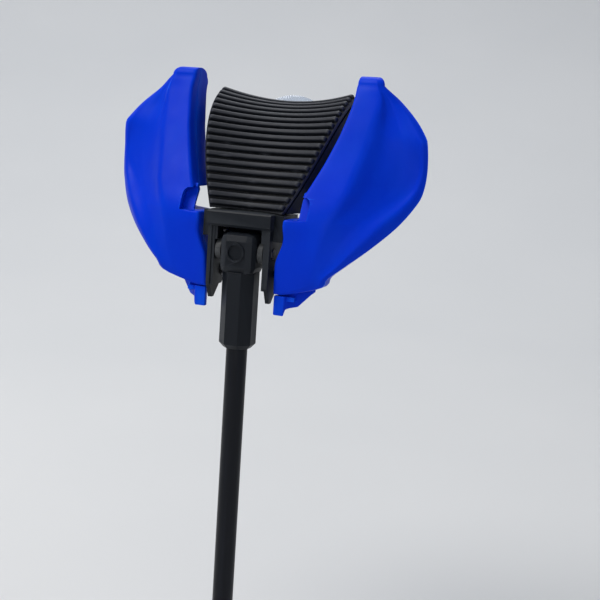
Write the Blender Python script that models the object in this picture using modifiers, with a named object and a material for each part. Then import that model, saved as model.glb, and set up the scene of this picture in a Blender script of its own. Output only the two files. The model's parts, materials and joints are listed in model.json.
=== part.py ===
"""Ribbed cleaning head with two float wings, tilting on a moulded stem and a thin pole.

Frame: millimetre values below are turned to metres. +Z runs up the pole, -Y is the front,
and the origin is the centre of the flat lower face of the pole's ferrule.
"""
import math

import bmesh
import bpy
import numpy as np
from mathutils import Matrix, Vector

MM = 0.001
GAP = 0.3                      # clearance between neighbouring pieces

# Pole
ROD_RADIUS = 4.0
ROD_BORE_RADIUS = 4.3
ROD_BOTTOM_Z = 6.3
ROD_TOP_Z = 158.0
FERRULE_TOP_Z = 26.0
FERRULE_RADIUS = 5.6
COLLAR_Z = (26.4, 31.6)
COLLAR_RADIUS = 6.2
COLLAR_FLUTES = 12

# Stem
PIVOT_Z = 173.5
SOCKET_Z = (137.0, 166.0)
SOCKET_RADIUS = 6.4
SOCKET_CHAMFER = 1.6
BOX_Z = (165.0, 180.6)
BOX_HALF = (7.0, 6.6)
BOX_ROUNDING = 3.0
BOSS_RING_RADIUS = 3.6
ROD_PIN_Z = 147.0
ROD_PIN_RADIUS = 1.2
ROD_PIN_Y = (-5.0, 6.1)        # the pin goes in from the rear

# Clevis frame
CHEEK_INNER_X = 9.8
CHEEK_STEP_X = 11.2
CHEEK_OUTER_X = 12.7
DECK_Z = (184.8, 188.2)
DECK_BACK_Y = 14.4
STOP_X = 12.2                  # half width of the stop wall that hangs from the deck
STOP_Y = (12.0, 14.0)
STOP_BOTTOM_Z = 170.5
CROSSBAR_Y = (-5.5, -2.2)
CROSSBAR_Z = (182.4, 188.2)
CROSSBAR_CHAMFERS = (1.0, 0.5)
RAIL_X = 16.0
RAIL_Z = (178.2, 188.2)
PIN_RADIUS = 2.0
PIN_BORE_RADIUS = 2.3
BUSH_RADIUS = 4.0
SIDE_SCREW_SPOTS = ((4.5, 165.5), (4.5, 182.0))
SIDE_SCREW_RADIUS = 1.3
SIDE_SCREW_HEAD_RADIUS = 2.5
SIDE_SCREW_TIP_X = 19.5
DECK_SCREW_X = 10.2
DECK_SCREW_Y = 12.0
DECK_SCREW_HEAD_RADIUS = 2.1
FACE_STEP = 0.15               # step between the faces of joined blocks

# Ribbed pad: a face that leans back more and more towards its top
PAD_START = (-0.3, 191.2)      # y and z of the first rib's top
PAD_LEANS = (math.radians(27.0), math.radians(69.0))
PAD_LEAN_POWER = 2.5
RIB_COUNT = 18
RIB_PITCH = 3.3
RIB_HEIGHT = 1.8
RIB_HALF_WIDTHS = (0.75, 0.95)
PAD_BACK_DEPTH = 3.6
PAD_COLUMNS = 10
PAD_LENGTH = (RIB_COUNT - 1) * RIB_PITCH
CARRIER_WALL = 2.0
CARRIER_DEPTH = 11.5
CARRIER_FLARE = 1.4
CARRIER_FOOT = (14.5, 9.3, 2.5)    # half width, front y and thickness of its foot
HEAD_FLOOR_Z = 188.5

# Suction cup behind the pad
CUP_RIM_Y = 44.8
CUP_Z = 213.5
CUP_RADIUS = 18.5
CUP_HEIGHT = 6.0
CUP_SOCKET_FLOOR = 3.2
CUP_STUD_RADIUS = 2.0
STUD_BOSS_Y = (25.9, 38.2)
STUD_BOSS_RADIUS = 3.8
STUD_START_Y = 25.0

# Float wings. Each station is a level of the wing: height, then the x and y of the inner
# edge, of the crease beside the flat band, of the fold and of the outer rim, then the
# depth of the parting line behind the inner edge and the y of the back.
WING_WALL = 2.0
WING_STATIONS = (
    (159.0, (13.6, -1.5), (15.2, -1.5), (16.2, -1.4), (17.2, -1.2), 2.2, 5.0),
    (163.0, (13.7, -2.0), (25.5, -2.3), (28.5, -2.0), (31.4, -1.0), 2.4, 9.0),
    (167.0, (13.8, -2.5), (27.5, -2.8), (31.0, -2.6), (34.4, -2.0), 2.6, 11.5),
    (171.0, (14.1, -3.0), (29.0, -3.0), (34.0, -2.1), (39.0, -0.6), 3.0, 14.0),
    (179.0, (16.8, -3.7), (30.5, -3.2), (38.0, -0.2), (48.0, 4.8), 3.8, 18.5),
    (187.0, (16.9, -4.3), (33.0, -2.0), (43.5, 4.2), (55.4, 11.2), 4.8, 23.0),
    (196.0, (22.2, 0.8), (37.2, 2.0), (53.0, 13.8), (60.8, 17.6), 6.0, 27.0),
    (201.0, (24.4, 3.4), (38.5, 4.6), (57.0, 17.4), (62.1, 19.4), 6.0, 28.5),
    (208.0, (27.1, 7.2), (39.9, 8.1), (59.0, 19.0), (62.5, 20.2), 6.0, 30.0),
    (217.5, (30.2, 11.7), (41.9, 12.7), (57.2, 18.6), (61.9, 19.4), 6.0, 32.0),
    (220.0, (30.8, 12.9), (42.2, 13.7), (55.6, 19.0), (60.6, 20.4), 6.0, 32.8),
    (225.5, (32.0, 15.6), (43.0, 16.0), (51.8, 20.6), (56.2, 22.4), 5.6, 34.0),
    (232.0, (33.0, 18.4), (43.2, 18.6), (46.8, 21.6), (49.2, 24.4), 5.0, 35.0),
    (237.0, (33.0, 21.2), (41.0, 20.3), (42.2, 20.9), (43.3, 22.2), 4.0, 33.5),
    (240.2, (33.6, 25.0), (38.4, 24.0), (39.3, 24.2), (40.1, 24.8), 1.6, 28.5),
)
WING_ROWS = (159.2, 161.5, 163.5, 166.0, 169.0, 171.5, 174.0, 176.6, 180.0, 183.5, 186.8,
             187.1, 189.8, 192.5, 195.1, 195.5, 198.5, 202.0, 206.0, 211.0, 216.0, 221.0,
             225.5, 229.0, 232.0, 235.0, 237.5, 239.4)
NOTCH_Z = (187.0, 195.3)
NOTCH_X = {"front": 21.2, "rear": 27.0}     # how far the notch cuts into each shell
FLOAT_ROWS = (178.0, 184.0, 190.0, 198.0, 206.0, 214.0, 222.0, 229.0)
# Skirt under each wing: x and y of its front face, of its back face, then its lower and upper edges
SKIRT_FRONT = ((13.9, -0.9), (18.1, -1.2), (18.6, -0.4), (19.5, 1.2), (22.2, 3.2),
               (24.3, 4.5), (26.2, 5.7), (27.6, 6.5))
SKIRT_BACK = ((13.9, 1.1), (17.2, 0.8), (17.5, 1.3), (18.1, 2.7), (21.2, 4.9),
              (23.3, 6.2), (25.2, 7.4), (26.6, 8.2))
SKIRT_BOTTOMS = (151.2, 151.2, 153.6, 154.0, 154.6, 157.0, 159.2, 160.4)
SKIRT_TOPS = (158.6, 158.6, 158.6, 158.6, 160.8, 160.8, 161.5, 162.0)
SKIRT_SHELF = ((14.3, -0.2, 156.8), (21.6, 4.0, 158.45))
SKIRT_BRIDGE = ((14.8, 1.6, 157.2), (21.6, 4.4, 160.6))


# ---------------------------------------------------------------- materials and helpers

def make_material(name, colour, roughness, metallic=0.0):
    material = bpy.data.materials.new(name)
    material.use_nodes = True
    shader = material.node_tree.nodes["Principled BSDF"]
    shader.inputs["Base Color"].default_value = (*colour, 1.0)
    shader.inputs["Roughness"].default_value = roughness
    shader.inputs["Metallic"].default_value = metallic
    return material


def clear_scene():
    for obj in list(bpy.data.objects):
        bpy.data.objects.remove(obj, do_unlink=True)


def make_collection(name):
    collection = bpy.data.collections.new(name)
    bpy.context.scene.collection.children.link(collection)
    return collection


def add_object(name, mesh, collection, material=None):
    obj = bpy.data.objects.new(name, mesh)
    collection.objects.link(obj)
    if material is not None:
        mesh.materials.append(material)
    return obj


def mesh_from_bmesh(name, bm):
    bmesh.ops.recalc_face_normals(bm, faces=bm.faces)
    if bm.calc_volume(signed=True) < 0:
        bmesh.ops.reverse_faces(bm, faces=bm.faces)
    mesh = bpy.data.meshes.new(name)
    bm.to_mesh(mesh)
    bm.free()
    return mesh


def smooth_round(obj):
    obj.data.shade_smooth()
    obj.data.set_sharp_from_angle(angle=math.radians(35.0))


def box_mesh(name, low, high, rounding=0.0):
    """A box between two corners in millimetres, with its edges rounded."""
    bm = bmesh.new()
    bmesh.ops.create_cube(bm, size=1.0)
    for vert in bm.verts:
        for axis in range(3):
            middle = (low[axis] + high[axis]) / 2
            vert.co[axis] = (middle + vert.co[axis] * (high[axis] - low[axis])) * MM
    if rounding:
        bmesh.ops.bevel(bm, geom=bm.edges[:], offset=rounding * MM, segments=2,
                        affect="EDGES", profile=0.5)
    return mesh_from_bmesh(name, bm)


def rod_mesh(name, start, end, radius, segments=20):
    """A cylinder between two points in millimetres."""
    start = Vector(start) * MM
    end = Vector(end) * MM
    bm = bmesh.new()
    bmesh.ops.create_cone(bm, cap_ends=True, segments=segments, radius1=radius * MM,
                          radius2=radius * MM, depth=(end - start).length)
    turn = (end - start).to_track_quat("Z", "Y").to_matrix().to_4x4()
    bmesh.ops.transform(bm, matrix=turn, verts=bm.verts)
    bmesh.ops.translate(bm, vec=(start + end) / 2, verts=bm.verts)
    return mesh_from_bmesh(name, bm)


def prism_mesh(name, outline, axis, low, high):
    """A closed outline in the plane across axis, drawn out from low to high."""
    bm = bmesh.new()
    others = [i for i in range(3) if i != axis]
    rings = []
    for level in (low, high):
        ring = []
        for a, b in outline:
            point = [0.0, 0.0, 0.0]
            point[axis] = level * MM
            point[others[0]] = a * MM
            point[others[1]] = b * MM
            ring.append(bm.verts.new(point))
        rings.append(ring)
    bm.faces.new(rings[0])
    bm.faces.new(rings[1])
    count = len(outline)
    for i in range(count):
        j = (i + 1) % count
        bm.faces.new((rings[0][i], rings[0][j], rings[1][j], rings[1][i]))
    return mesh_from_bmesh(name, bm)


def turned_object(name, profile, collection, material, steps=24):
    """A profile of (radius, height) in millimetres, turned about the Z axis."""
    bm = bmesh.new()
    verts = [bm.verts.new((r * MM, 0.0, z * MM)) for r, z in profile]
    for a, b in zip(verts, verts[1:]):
        bm.edges.new((a, b))
    mesh = bpy.data.meshes.new(name)
    bm.to_mesh(mesh)
    bm.free()
    obj = add_object(name, mesh, collection, material)
    screw = obj.modifiers.new("turn", "SCREW")
    screw.axis = "Z"
    screw.steps = steps
    screw.render_steps = steps
    screw.use_merge_vertices = True
    screw.merge_threshold = 0.00001
    return obj


def combine(target, tool, operation, cutters):
    """Join or cut target with tool, which is kept among the hidden cutters."""
    if tool.name not in cutters.objects:
        cutters.objects.link(tool)
    tool.hide_render = True
    tool.display_type = "WIRE"
    modifier = target.modifiers.new(tool.name, "BOOLEAN")
    modifier.operation = operation
    modifier.object = tool


def add_tool(mesh):
    return bpy.data.objects.new(mesh.name, mesh)


def cut(target, mesh, cutters):
    combine(target, add_tool(mesh), "DIFFERENCE", cutters)


def join(target, mesh, cutters):
    combine(target, add_tool(mesh), "UNION", cutters)


def thick_sheet(name, outer, inner):
    """A closed wall between two grids of points that have the same rows and columns."""
    bm = bmesh.new()
    rows = len(outer)
    columns = len(outer[0])
    skins = []
    for grid in (outer, inner):
        skins.append([[bm.verts.new(Vector(p) * MM) for p in row] for row in grid])
    for skin in skins:
        for i in range(rows - 1):
            for j in range(columns - 1):
                bm.faces.new((skin[i][j], skin[i][j + 1], skin[i + 1][j + 1], skin[i + 1][j]))
    border = [(0, j) for j in range(columns)]
    border += [(i, columns - 1) for i in range(1, rows)]
    border += [(rows - 1, j) for j in range(columns - 2, -1, -1)]
    border += [(i, 0) for i in range(rows - 2, 0, -1)]
    for (i, j), (k, m) in zip(border, border[1:] + border[:1]):
        bm.faces.new((skins[0][i][j], skins[0][k][m], skins[1][k][m], skins[1][i][j]))
    return mesh_from_bmesh(name, bm)


def loft_solid(name, rings):
    """A solid through closed rings that have the same number of points."""
    bm = bmesh.new()
    levels = [[bm.verts.new(Vector(p) * MM) for p in ring] for ring in rings]
    count = len(levels[0])
    for low, high in zip(levels, levels[1:]):
        for i in range(count):
            j = (i + 1) % count
            bm.faces.new((low[i], low[j], high[j], high[i]))
    bm.faces.new(levels[0])
    bm.faces.new(levels[-1])
    return mesh_from_bmesh(name, bm)


def mirrored(points, side):
    return [[(side * p[0], p[1], p[2]) for p in row] for row in points]


# ---------------------------------------------------------------- pole and stem

def build_pole(parts, cutters, materials):
    ferrule_profile = [(0.0, ROD_BOTTOM_Z - GAP), (ROD_BORE_RADIUS, ROD_BOTTOM_Z - GAP),
                       (ROD_BORE_RADIUS, FERRULE_TOP_Z), (FERRULE_RADIUS - 0.6, FERRULE_TOP_Z),
                       (FERRULE_RADIUS, FERRULE_TOP_Z - 0.6), (FERRULE_RADIUS, 1.0),
                       (FERRULE_RADIUS - 1.0, 0.0), (0.0, 0.0)]
    ferrule = turned_object("pole_ferrule", ferrule_profile, parts, materials["grey"])
    smooth_round(ferrule)

    low, high = COLLAR_Z
    collar = add_object("ferrule_collar",
                        rod_mesh("ferrule_collar", (0, 0, low), (0, 0, high), COLLAR_RADIUS, 24),
                        parts, materials["black"])
    cut(collar, rod_mesh("collar_bore", (0, 0, low - 1), (0, 0, high + 1), ROD_BORE_RADIUS),
        cutters)
    for index in range(COLLAR_FLUTES):
        angle = math.tau * index / COLLAR_FLUTES
        x = (COLLAR_RADIUS + 0.45) * math.cos(angle)
        y = (COLLAR_RADIUS + 0.45) * math.sin(angle)
        cut(collar, rod_mesh(f"flute_{index}", (x, y, low + 1), (x, y, high + 1), 0.8, 8), cutters)

    rod = add_object("pole_rod",
                     rod_mesh("pole_rod", (0, 0, ROD_BOTTOM_Z), (0, 0, ROD_TOP_Z), ROD_RADIUS, 32),
                     parts, materials["rod"])
    cut(rod, rod_mesh("rod_cross_hole", (0, -9, ROD_PIN_Z), (0, 9, ROD_PIN_Z),
                      ROD_PIN_RADIUS + GAP, 12), cutters)
    smooth_round(rod)
    near, far = ROD_PIN_Y
    add_object("rod_pin", rod_mesh("rod_pin", (0, near, ROD_PIN_Z), (0, far, ROD_PIN_Z),
                                   ROD_PIN_RADIUS, 16), parts, materials["steel"])


def build_stem(parts, cutters, materials):
    low, high = SOCKET_Z
    octagon = math.tau / 8
    rings = []
    for z, radius in ((low, SOCKET_RADIUS - SOCKET_CHAMFER), (low + 1.8, SOCKET_RADIUS),
                      (high, SOCKET_RADIUS)):
        ring = []
        for index in range(8):
            angle = octagon * (index + 0.5)
            reach = radius / math.cos(octagon / 2)
            ring.append((reach * math.cos(angle), reach * math.sin(angle), z))
        rings.append(ring)
    stem = add_object("stem_socket", loft_solid("stem_socket", rings), parts, materials["black"])
    half_x, half_y = BOX_HALF
    join(stem, box_mesh("stem_box", (-half_x, -half_y, BOX_Z[0]), (half_x, half_y, BOX_Z[1]),
                        BOX_ROUNDING), cutters)
    front = -half_y
    ring_cut = rod_mesh("ring_hollow", (0, front - 1.5, PIVOT_Z), (0, front + 0.4, PIVOT_Z),
                        BOSS_RING_RADIUS - 0.8, 24)
    join(stem, rod_mesh("boss_ring", (0, front - 0.45, PIVOT_Z), (0, front + 1.0, PIVOT_Z),
                        BOSS_RING_RADIUS, 24), cutters)
    cut(stem, ring_cut, cutters)
    cut(stem, rod_mesh("rod_bore", (0, 0, low - 5), (0, 0, ROD_TOP_Z + GAP), ROD_BORE_RADIUS, 32),
        cutters)
    cut(stem, rod_mesh("pivot_bore", (-20, 0, PIVOT_Z), (20, 0, PIVOT_Z), PIN_BORE_RADIUS),
        cutters)
    cut(stem, rod_mesh("rod_pin_bore", (0, ROD_PIN_Y[0] - GAP, ROD_PIN_Z), (0, 20, ROD_PIN_Z),
                       ROD_PIN_RADIUS + GAP, 12), cutters)


# ---------------------------------------------------------------- clevis

def build_frame(parts, cutters, materials):
    front, rear = CROSSBAR_Y
    bottom, top = CROSSBAR_Z
    lower, upper = CROSSBAR_CHAMFERS
    crossbar = [(front, top - upper), (front + upper, top), (rear, top), (rear, bottom),
                (front + lower, bottom), (front, bottom + lower)]
    mesh = prism_mesh("clevis_frame", crossbar, 0, -CHEEK_OUTER_X, CHEEK_OUTER_X)
    frame = add_object("clevis_frame", mesh, parts, materials["black"])
    deck_half = CHEEK_OUTER_X - FACE_STEP
    deck_top = DECK_Z[1] - FACE_STEP
    join(frame, box_mesh("deck", (-deck_half, CROSSBAR_Y[1] - 1.0, DECK_Z[0]),
                         (deck_half, DECK_BACK_Y, deck_top)), cutters)
    shelf_half = RAIL_X - 2 * FACE_STEP
    join(frame, box_mesh("deck_shelf", (-shelf_half, 0.4, DECK_Z[0] + FACE_STEP),
                         (shelf_half, DECK_BACK_Y - FACE_STEP, deck_top - 2 * FACE_STEP)),
         cutters)
    join(frame, box_mesh("stop_wall", (-STOP_X, STOP_Y[0], STOP_BOTTOM_Z),
                         (STOP_X, STOP_Y[1], DECK_Z[0] + 1.0)), cutters)
    outer_outline = [(-4.3, 187.0), (-4.3, 161.0), (-1.6, 155.2), (0.2, 155.2), (8.0, 163.0),
                     (9.0, 187.0)]
    inner_outline = [(-3.9, 186.4), (-3.9, 160.0), (4.2, 160.0), (7.4, 163.4), (8.2, 186.4)]
    for side, label in ((-1, "left"), (1, "right")):
        spans = ((outer_outline, CHEEK_STEP_X - 0.3, CHEEK_OUTER_X - 2 * FACE_STEP),
                 (inner_outline, CHEEK_INNER_X, CHEEK_OUTER_X - 0.8))
        for index, (outline, near, far) in enumerate(spans):
            low, high = sorted((side * near, side * far))
            join(frame, prism_mesh(f"cheek_{label}_{index}", outline, 0, low, high), cutters)
        low, high = sorted((side * (CHEEK_OUTER_X - 1.1), side * RAIL_X))
        join(frame, box_mesh(f"rail_{label}", (low, -1.0, RAIL_Z[0]),
                             (high, 1.4, deck_top - FACE_STEP)), cutters)
        low, high = sorted((side * (CHEEK_INNER_X - 1.0), side * (CHEEK_INNER_X + 0.5)))
        join(frame, box_mesh(f"lug_{label}", (low, -3.7, 177.4), (high, -2.4, 184.0)), cutters)
        for index, (y, z) in enumerate(SIDE_SCREW_SPOTS):
            cut(frame, rod_mesh(f"side_hole_{label}_{index}", (side * 8, y, z), (side * 20, y, z),
                                SIDE_SCREW_RADIUS + GAP, 16), cutters)
        cut(frame, rod_mesh(f"deck_hole_{label}", (side * DECK_SCREW_X, DECK_SCREW_Y, 180),
                            (side * DECK_SCREW_X, DECK_SCREW_Y, 195),
                            SIDE_SCREW_RADIUS + GAP, 16), cutters)
    cut(frame, rod_mesh("pin_bore", (-20, 0, PIVOT_Z), (20, 0, PIVOT_Z), PIN_BORE_RADIUS), cutters)


def build_pivot(parts, cutters, materials):
    reach = CHEEK_OUTER_X - 0.1
    add_object("pivot_pin", rod_mesh("pivot_pin", (-reach, 0, PIVOT_Z), (reach, 0, PIVOT_Z),
                                     PIN_RADIUS, 24), parts, materials["steel"])
    for side, label in ((-1, "left"), (1, "right")):
        near = side * (BOX_HALF[0] + GAP)
        far = side * (CHEEK_INNER_X - GAP)
        bush = add_object(f"pivot_bush_{label}",
                          rod_mesh(f"pivot_bush_{label}", (near, 0, PIVOT_Z), (far, 0, PIVOT_Z),
                                   BUSH_RADIUS, 24), parts, materials["grey"])
        cut(bush, rod_mesh(f"bush_bore_{label}", (near - side, 0, PIVOT_Z),
                           (far + side, 0, PIVOT_Z), PIN_BORE_RADIUS), cutters)


def screw_mesh(name, seat, direction, head_height, head_radius, shank_radius, length):
    """A pan-head screw whose head rests on seat and whose shank runs along direction."""
    outline = [(0.0, -head_height), (head_radius * 0.7, -head_height),
               (head_radius, -head_height * 0.35), (head_radius, 0.0), (shank_radius, 0.0),
               (shank_radius, length - 1.0), (shank_radius * 0.4, length), (0.0, length)]
    turn = Vector(direction).to_track_quat("Z", "Y")
    rings = []
    segments = 16
    for radius, along in outline[1:-1]:
        ring = []
        for index in range(segments):
            angle = math.tau * index / segments
            point = Vector((radius * math.cos(angle), radius * math.sin(angle), along))
            ring.append(tuple(Vector(seat) + turn @ point))
        rings.append(ring)
    return loft_solid(name, rings)


def build_screws(parts, materials):
    for side, label in ((-1, "left"), (1, "right")):
        for index, (y, z) in enumerate(SIDE_SCREW_SPOTS):
            name = f"wing_screw_{label}_{'lower' if index == 0 else 'upper'}"
            seat = (side * (CHEEK_INNER_X - 0.05), y, z)
            length = SIDE_SCREW_TIP_X - CHEEK_INNER_X
            mesh = screw_mesh(name, seat, (side, 0, 0), 1.4, SIDE_SCREW_HEAD_RADIUS,
                              SIDE_SCREW_RADIUS, length)
            add_object(name, mesh, parts, materials["steel"])
        name = f"deck_screw_{label}"
        seat = (side * DECK_SCREW_X, DECK_SCREW_Y, HEAD_FLOOR_Z + CARRIER_FOOT[2] + 0.05)
        mesh = screw_mesh(name, seat, (0, 0, -1), 1.4, DECK_SCREW_HEAD_RADIUS,
                          SIDE_SCREW_RADIUS, 5.2)
        add_object(name, mesh, parts, materials["steel"])


# ---------------------------------------------------------------- ribbed pad and carrier

def pad_half_width(s):
    return 15.3 + 0.415 * s - 0.00335 * s * s


def pad_lean(s):
    low, high = PAD_LEANS
    return low + (high - low) * (np.maximum(s, 0.0) / PAD_LENGTH) ** PAD_LEAN_POWER


def pad_spine(s):
    """y and z of the pad's edge line at s along it."""
    steps = np.linspace(0.0, s, 41)
    leans = pad_lean((steps[1:] + steps[:-1]) / 2)
    step = s / 40
    return PAD_START[0] + np.sin(leans).sum() * step, PAD_START[1] + np.cos(leans).sum() * step


def pad_point(s, across, height):
    """A point of the pad: s along its edge, across from -1 to 1, height above the rib tops."""
    lean = float(pad_lean(s))
    y, z = pad_spine(s)
    part = s / PAD_LENGTH
    middle = 1.0 - across * across
    sag = (4.2 + 1.4 * part) * middle
    bow = (1.5 + 1.0 * part) * middle
    drop = height - sag
    y += -math.cos(lean) * drop + math.sin(lean) * bow
    z += math.sin(lean) * drop + math.cos(lean) * bow
    return (pad_half_width(s) * across, y, z)


def build_rib_pad(parts, cutters, materials):
    narrow, wide = RIB_HALF_WIDTHS
    steps = [(-3.0, -RIB_HEIGHT)]
    for index in range(RIB_COUNT):
        centre = index * RIB_PITCH
        steps += [(centre - wide, -RIB_HEIGHT), (centre - narrow, 0.0),
                  (centre + narrow, 0.0), (centre + wide, -RIB_HEIGHT)]
    steps.append((PAD_LENGTH + 1.4, -RIB_HEIGHT))
    spread = np.linspace(-1.0, 1.0, PAD_COLUMNS + 1)
    front = [[pad_point(s, a, height) for a in spread] for s, height in steps]
    back = [[pad_point(s, a, -PAD_BACK_DEPTH) for a in spread] for s, height in steps]
    pad = add_object("rib_pad", thick_sheet("rib_pad", front, back), parts, materials["rubber"])
    cut(pad, box_mesh("pad_floor", (-60, -30, 150), (60, 60, HEAD_FLOOR_Z)), cutters)


def carrier_point(s, across, height):
    """A point of the carrier, whose side walls run back and flare outwards."""
    x, y, z = pad_point(s, max(-1.0, min(1.0, across)), height)
    side = math.copysign(1.0, across)
    lip = 0.4 if abs(across) >= 1.0 else 0.0
    flare = CARRIER_FLARE * max(0.0, abs(across) - 1.0)
    return (x + side * (lip + flare), y, z)


def build_carrier(parts, cutters, materials):
    top = -PAD_BACK_DEPTH - GAP
    deep = -CARRIER_DEPTH
    under = top - CARRIER_WALL
    stations = np.linspace(-5.0, PAD_LENGTH + 1.4, 12)
    spread = list(np.linspace(-1.0, 1.0, 9))
    outer = []
    inner = []
    for s in stations:
        outer_row = [carrier_point(s, -2.0, deep)]
        outer_row += [carrier_point(s, a, top) for a in spread]
        outer_row.append(carrier_point(s, 2.0, deep))
        inner_row = [carrier_point(s, -2.0, deep)]
        inner_row += [carrier_point(s, a, under) for a in spread]
        inner_row.append(carrier_point(s, 2.0, deep))
        for index in (0, 1, -2, -1):
            x, y, z = inner_row[index]
            inner_row[index] = (x - math.copysign(CARRIER_WALL, x), y, z)
        outer.append(outer_row)
        inner.append(inner_row)
    carrier = add_object("pad_carrier", thick_sheet("pad_carrier", outer, inner), parts,
                         materials["black"])
    cut(carrier, box_mesh("carrier_floor", (-60, -30, 150), (60, 60, HEAD_FLOOR_Z)), cutters)
    half_foot = CARRIER_FOOT[0]
    join(carrier, box_mesh("carrier_foot", (-half_foot, CARRIER_FOOT[1], HEAD_FLOOR_Z),
                           (half_foot, DECK_BACK_Y - 0.4, HEAD_FLOOR_Z + CARRIER_FOOT[2])),
         cutters)
    join(carrier, rod_mesh("stud_boss", (0, STUD_BOSS_Y[0], CUP_Z), (0, STUD_BOSS_Y[1], CUP_Z),
                           STUD_BOSS_RADIUS), cutters)
    cut(carrier, rod_mesh("stud_bore", (0, 15, CUP_Z), (0, 40, CUP_Z), CUP_STUD_RADIUS + GAP),
        cutters)
    for side in (-1, 1):
        cut(carrier, rod_mesh(f"foot_hole_{side}", (side * DECK_SCREW_X, DECK_SCREW_Y, 186),
                              (side * DECK_SCREW_X, DECK_SCREW_Y, 192),
                              SIDE_SCREW_RADIUS + GAP, 16), cutters)


def build_cup(parts, materials):
    bore = CUP_STUD_RADIUS + GAP
    profile = [(0.0, CUP_SOCKET_FLOOR), (bore, CUP_SOCKET_FLOOR), (bore, CUP_HEIGHT),
               (4.6, CUP_HEIGHT), (4.6, 3.9), (12.0, 2.9), (CUP_RADIUS, 0.9), (CUP_RADIUS, 0.0),
               (12.0, 1.3), (0.0, 1.9)]
    cup = turned_object("suction_cup", profile, parts, materials["clear"], steps=36)
    cup.location = (0.0, CUP_RIM_Y * MM, CUP_Z * MM)
    cup.rotation_euler = (math.radians(90.0), 0.0, 0.0)
    smooth_round(cup)
    stud_end = CUP_RIM_Y - CUP_SOCKET_FLOOR - GAP
    add_object("cup_stud", rod_mesh("cup_stud", (0, STUD_START_Y, CUP_Z), (0, stud_end, CUP_Z),
                                    CUP_STUD_RADIUS, 20), parts, materials["grey"])


# ---------------------------------------------------------------- float wings

def wing_values(z):
    """The wing's station values at height z, on a smooth curve through the stations."""
    levels = [station[0] for station in WING_STATIONS]
    table = np.array([[*s[1], *s[2], *s[3], *s[4], s[5], s[6]] for s in WING_STATIONS])
    index = int(np.clip(np.searchsorted(levels, z) - 1, 0, len(levels) - 2))
    before = max(index - 1, 0)
    after = min(index + 2, len(levels) - 1)
    span = levels[index + 1] - levels[index]
    t = (z - levels[index]) / span
    start = (table[index + 1] - table[before]) / (levels[index + 1] - levels[before]) * span
    end = (table[after] - table[index]) / (levels[after] - levels[index]) * span
    h01 = t * t * (3 - 2 * t)
    h10 = t * (1 - t) ** 2
    h11 = t * t * (t - 1)
    return table[index] * (1 - h01) + table[index + 1] * h01 + start * h10 + end * h11


def wing_levels(z, shell=None):
    """The station values at height z. In the notch, the named shell's inner edge steps out."""
    levels = list(wing_values(z))
    if shell is not None:
        xi, yi, xc, yc = levels[:4]
        edge = max(xi, NOTCH_X[shell])
        seam = parting_y(levels, edge)
        levels[0] = edge
        levels[1] = yi + (yc - yi) * (edge - xi) / (xc - xi)
        levels[8] = seam - levels[1]
    return levels


def parting_y(levels, x):
    """The y of the surface where the front and rear shells of a wing meet."""
    xi, yi, _, _, _, _, xr, yr, parting, _ = levels
    share = min(max((x - xi) / max(xr - xi, 1.0), 0.0), 1.0)
    return (yi + parting) * (1 - share) + yr * share


def wing_front_section(z, levels):
    xi, yi, xc, yc, xf, yf, xr, yr, parting, _ = levels
    hollow = 1.2 * min(max((z - 187.0) / 12.0, 0.0), 1.0) * min(max((236.0 - z) / 10.0, 0.0), 1.0)
    corner = min(1.0, (xc - xi) / 4)
    points = [(xi, yi + parting), (xi, yi + corner), (xi + corner, yi),
              ((xi + xc) / 2, (yi + yc) / 2), (xc - 0.8, yc), (xc + 0.6, yc + 0.5)]
    for share, dip in ((0.33, 1.0), (0.67, 0.8)):
        points.append((xc + (xf - xc) * share, yc + (yf - yc) * share + hollow * dip))
    bulge = 0.12 * (xr - xf)
    points += [(xf, yf), ((xf + xr) / 2 + bulge, (yf + yr) / 2 - bulge), (xr, yr)]
    return points


def wing_rear_section(z, levels):
    xi, yi, _, _, _, _, xr, yr, parting, back = levels
    start = yi + parting + GAP
    inner_back = max(start + 0.6, min(back - 1.0, start + 9.0))
    reach = float(np.interp(z, (159.0, 163.0, 171.0, 187.0), (6.2, 9.0, 6.0, 2.0)))
    edge_back = max(yr + GAP + 0.4, min(back - 0.5, yr + reach))
    middle = (wing_values(z)[0] + xr) / 2
    round_off = min(1.5, (inner_back - start) / 2)
    return [(xi, start), (xi, inner_back - round_off), (xi + round_off, inner_back),
            ((xi + middle) / 2, (inner_back + back) / 2), (middle, back),
            ((middle + xr) / 2, (back + edge_back) / 2), (xr - 0.8, edge_back),
            (xr, yr + GAP)]


def inset_section(points, side):
    """The section moved in by the wall, to the left of its run where side is 1."""
    moved = []
    for index, (x, y) in enumerate(points):
        before = points[max(index - 1, 0)]
        after = points[min(index + 1, len(points) - 1)]
        run = Vector((after[0] - before[0], after[1] - before[1])).normalized()
        moved.append([x - side * run.y * WING_WALL, y + side * run.x * WING_WALL])
    moved[0] = [points[0][0] + WING_WALL, points[0][1]]
    moved[-1] = [points[-1][0] - WING_WALL, points[-1][1]]
    for index in range(len(moved) - 2, -1, -1):
        moved[index][0] = min(moved[index][0], moved[index + 1][0] - 0.01)
    for index in range(1, len(moved)):
        moved[index][0] = max(moved[index][0], moved[0][0])
    return moved


def inner_level(z):
    """The height of the inside of the wall at each height of the outside."""
    bottom, top = WING_STATIONS[0][0], WING_STATIONS[-1][0]
    low, high = NOTCH_Z
    outside = (bottom, low - 0.001, low + 0.001, high - 0.001, high + 0.001, top)
    inside = (bottom + WING_WALL, low - WING_WALL, low - WING_WALL + 0.3,
              high + WING_WALL - 0.3, high + WING_WALL, top - WING_WALL)
    return float(np.interp(z, outside, inside))


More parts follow.
